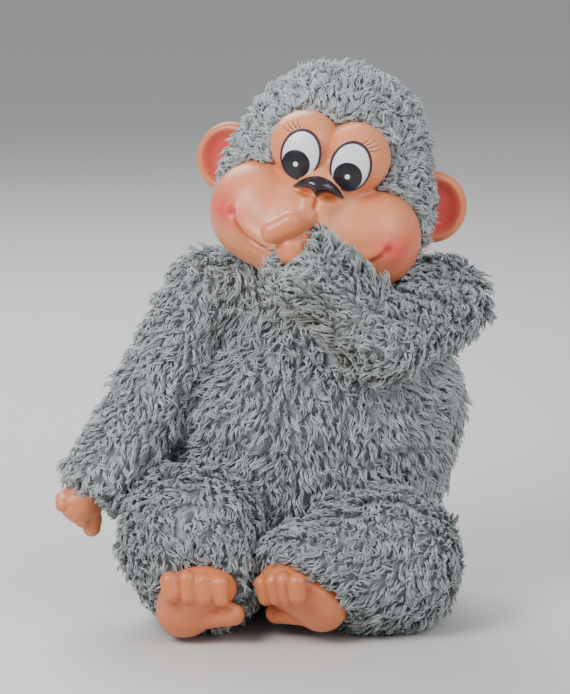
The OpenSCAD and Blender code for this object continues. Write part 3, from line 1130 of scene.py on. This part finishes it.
class MONKEY_OT_inner(bpy.types.Operator):
    """Finishes of the pieces that stay as the CAD made them"""

    bl_idname = "monkey.inner"
    bl_label = "Inner pieces"

    def execute(self, context):
        filling = plain_material("filling", (0.72, 0.71, 0.68), 0.9)
        cord = plain_material("cord", (0.25, 0.14, 0.06), 0.8)
        dark = plain_material("neck_cloth", tuple(context.scene.monkey_pile.root), 0.85)
        _, at = head_frame()

        def inside(p):
            q = to_head(p)
            return join(6, skull_form(q) + 4, mask_form(q) + 6)

        obj = moulded("head_filling", inside, at, 96, 64)
        set_points(obj, points_of(obj) * MM)
        finish(obj, filling, "head")
        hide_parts("head_stuffing")
        for name, obj in frame["nodes"].items():
            for word, mat in (("stuffing", filling), ("tie", cord), ("neck_plug", dark)):
                if word in name:
                    obj.data.materials.clear()
                    obj.data.materials.append(mat)
        return {"FINISHED"}


class MONKEY_OT_stage(bpy.types.Operator):
    """A pale floor, soft lights and the camera"""

    bl_idname = "monkey.stage"
    bl_label = "Stage"

    def execute(self, context):
        scene = context.scene
        bpy.ops.mesh.primitive_plane_add(size=16)
        floor = context.active_object
        floor.name = "floor"
        floor.data.materials.append(plain_material("floor", (0.62, 0.60, 0.57), 0.6))
        world = scene.world or bpy.data.worlds.new("studio")
        scene.world = world
        world.use_nodes = True
        world.node_tree.nodes["Background"].inputs["Color"].default_value = (0.80, 0.84, 0.90, 1)
        world.node_tree.nodes["Background"].inputs["Strength"].default_value = 0.52
        target = Vector((0.01, -0.03, 0.14))
        for name, place, size, power in (
            ("key", (-0.7, -0.75, 0.95), 0.6, 17),
            ("fill", (0.85, -0.7, 0.9), 0.9, 9),
            ("back", (-0.25, 0.8, 0.9), 0.7, 12),
        ):
            light = bpy.data.lights.new(name, "AREA")
            light.size = size
            light.energy = power
            obj = bpy.data.objects.new(name, light)
            obj.location = place
            obj.rotation_euler = (target - Vector(place)).to_track_quat("-Z", "Y").to_euler()
            scene.collection.objects.link(obj)
        camera = bpy.data.cameras.new("camera")
        camera.lens = 199
        camera.sensor_width = 36
        obj = bpy.data.objects.new("camera", camera)
        elevation, distance = math.radians(12), 2.0
        aim = Vector((0.0011, 0.0, 0.134))
        obj.location = aim + Vector((0, -math.cos(elevation), math.sin(elevation))) * distance
        obj.rotation_euler = (aim - obj.location).to_track_quat("-Z", "Y").to_euler()
        scene.collection.objects.link(obj)
        scene.camera = obj
        return {"FINISHED"}


class MONKEY_PT_panel(bpy.types.Panel):
    """Lists the monkey's settings and builders"""

    bl_idname = "MONKEY_PT_panel"
    bl_label = "Plush Monkey"
    bl_space_type = "VIEW_3D"
    bl_region_type = "UI"
    bl_category = "Plush Monkey"

    def draw(self, context):
        for group in GROUPS:
            box = self.layout.box()
            settings = getattr(context.scene, group)
            for key in GROUPS[group].__annotations__:
                box.prop(settings, key)
        for operator in OPERATORS:
            self.layout.operator(operator.bl_idname)


GROUPS = {
    "monkey_head": MonkeyHeadSettings,
    "monkey_pile": MonkeyPileSettings,
    "monkey_vinyl": MonkeyVinylSettings,
}
OPERATORS = (
    MONKEY_OT_inner,
    MONKEY_OT_torso,
    MONKEY_OT_legs,
    MONKEY_OT_arms,
    MONKEY_OT_hood,
    MONKEY_OT_face,
    MONKEY_OT_eyes,
    MONKEY_OT_ears,
    MONKEY_OT_hands,
    MONKEY_OT_feet,
    MONKEY_OT_stage,
)


def register():
    for cls in (*GROUPS.values(), *OPERATORS, MONKEY_PT_panel):
        bpy.utils.register_class(cls)
    for name, cls in GROUPS.items():
        setattr(bpy.types.Scene, name, bpy.props.PointerProperty(type=cls))


def unregister():
    for name in GROUPS:
        delattr(bpy.types.Scene, name)
    for cls in reversed((*GROUPS.values(), *OPERATORS, MONKEY_PT_panel)):
        bpy.utils.unregister_class(cls)


def main():
    register()
    for operator in OPERATORS:
        group, name = operator.bl_idname.split(".")
        getattr(getattr(bpy.ops, group), name)()


if __name__ == "__main__":
    main()
